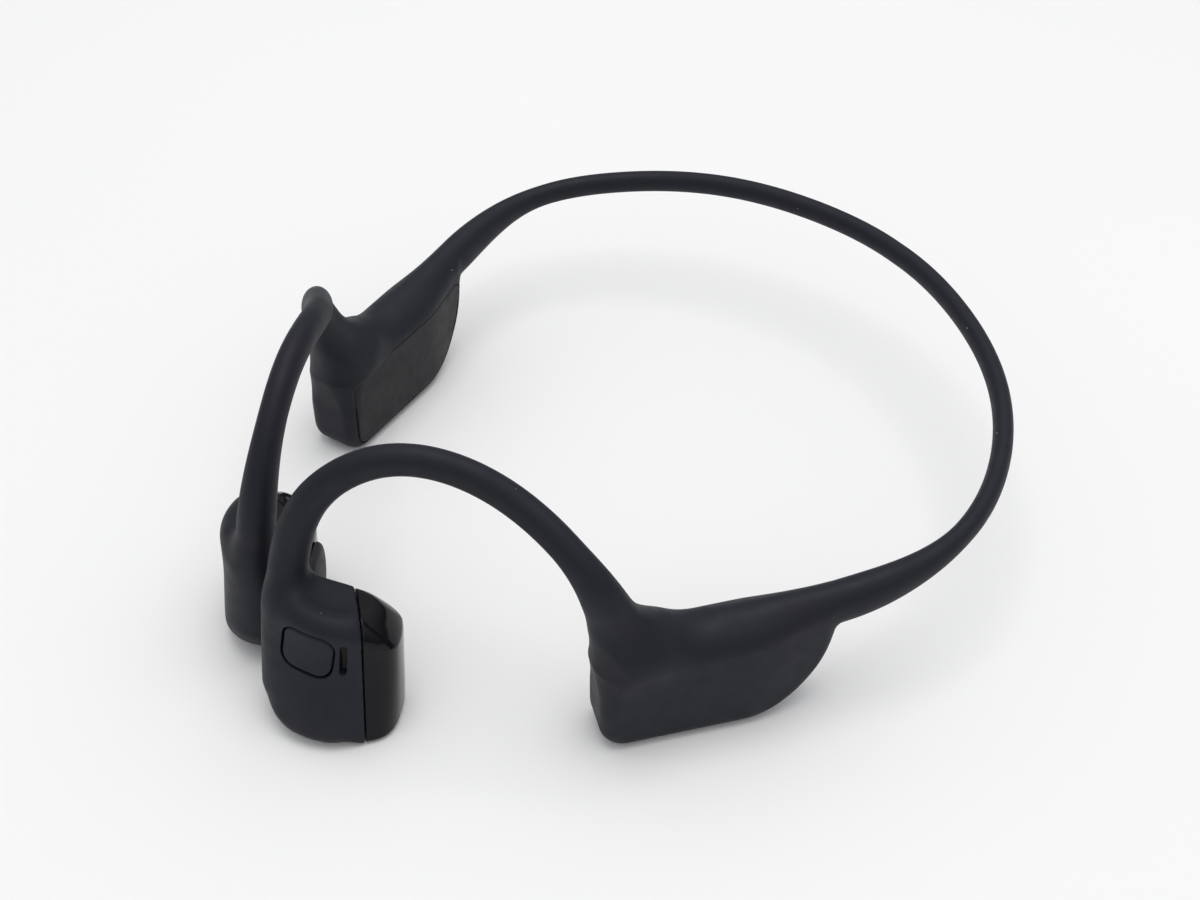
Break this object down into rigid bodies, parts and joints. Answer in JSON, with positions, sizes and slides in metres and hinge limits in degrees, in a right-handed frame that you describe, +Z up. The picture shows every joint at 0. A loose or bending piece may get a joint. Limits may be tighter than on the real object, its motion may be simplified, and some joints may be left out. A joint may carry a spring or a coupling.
{
  "type": "bone conduction headphones",
  "caption": "Open-ear bone conduction headphones: sprung silicone neckband, two ear modules, over-ear hooks and cheek transducer pods.",
  "frame": {"origin": "on the table under the middle of the headset, in its plane of symmetry", "axes": "+X to the wearer's left, +Y to the back of the neckband, +Z up; the wearer faces -Y"},
  "size_m": [0.1028, 0.1194, 0.0431],
  "materials": {
    "silicone": "soft-touch silicone, matt, very dark blue-black",
    "cover": "fine matt moulded plastic, black",
    "gloss": "piano-black gloss plastic",
    "pad": "soft silicone skin pad, satin",
    "seal": "rubber seal",
    "titanium": "drawn titanium wire",
    "steel": "pressed steel",
    "magnet": "nickel-plated magnet",
    "copper": "enamelled copper winding",
    "gold": "gold-plated contact",
    "board": "circuit board, green solder mask",
    "battery": "pouch cell in foil",
    "cable": "insulated cable",
    "mesh": "dark acoustic mesh",
    "lens": "clear light pipe"
  },
  "bodies": {
    "neckband": {"neckband_sleeve": "silicone", "neckband_wire": "titanium", "neckband_cable": "cable"},
    "left_arm": {"left_module_shell": "silicone", "left_module_cover": "cover", "left_cover_seal": "seal", "battery": "battery", "battery_guard_board": "board"},
    "left_pod": {"left_contact_pad": "pad", "left_driver_magnet": "magnet", "left_driver_yoke": "steel", "left_hook_cable": "cable", "left_hook_sleeve": "silicone", "left_hook_wire": "titanium", "left_pod_housing": "gloss", "left_pod_shell": "silicone", "left_spring_plate": "steel", "left_voice_coil": "copper", "button_board": "board", "microphone": "steel", "microphone_mesh": "mesh", "multifunction_switch": "steel"},
    "right_arm": {"right_module_shell": "silicone", "right_module_cover": "cover", "right_cover_seal": "seal", "control_board": "board", "radio_can": "steel", "charge_contact_block": "cover", "charge_pin_positive": "gold", "charge_pin_negative": "gold", "status_light_pipe": "lens", "volume_up_switch": "steel", "volume_down_switch": "steel"},
    "right_pod": {"right_contact_pad": "pad", "right_driver_magnet": "magnet", "right_driver_yoke": "steel", "right_hook_cable": "cable", "right_hook_sleeve": "silicone", "right_hook_wire": "titanium", "right_pod_housing": "gloss", "right_pod_shell": "silicone", "right_spring_plate": "steel", "right_voice_coil": "copper"},
    "multifunction_button": {"multifunction_button": "silicone"},
    "volume_up_button": {"volume_up_button": "cover"},
    "volume_down_button": {"volume_down_button": "cover"}
  },
  "joints": [
    {"name": "left_arm_flex", "type": "hinge", "parent": "neckband", "child": "left_arm", "pos_m": [0.04675, 0.00507, 0.0164], "axis": [0, 0, 1], "range_deg": [0, 14], "stiffness_Nm_per_rad": 0.12},
    {"name": "right_arm_flex", "type": "hinge", "parent": "neckband", "child": "right_arm", "pos_m": [-0.04675, 0.00507, 0.0164], "axis": [0, 0, -1], "range_deg": [0, 14], "stiffness_Nm_per_rad": 0.12},
    {"name": "left_hook_flex", "type": "hinge", "parent": "left_arm", "child": "left_pod", "pos_m": [0.0355, -0.02335, 0.0208], "axis": [0, 0, 1], "range_deg": [0, 12], "stiffness_Nm_per_rad": 0.08},
    {"name": "right_hook_flex", "type": "hinge", "parent": "right_arm", "child": "right_pod", "pos_m": [-0.0355, -0.02335, 0.0208], "axis": [0, 0, -1], "range_deg": [0, 12], "stiffness_Nm_per_rad": 0.08},
    {"name": "multifunction_button_press", "type": "slide", "parent": "left_pod", "child": "multifunction_button", "axis": [-0.664, 0.7377, -0.1216], "range_m": [0, 0.0004]},
    {"name": "volume_up_press", "type": "slide", "parent": "right_arm", "child": "volume_up_button", "axis": [0, 0, 1], "range_m": [0, 0.0004]},
    {"name": "volume_down_press", "type": "slide", "parent": "right_arm", "child": "volume_down_button", "axis": [0, 0, 1], "range_m": [0, 0.0004]}
  ]
}
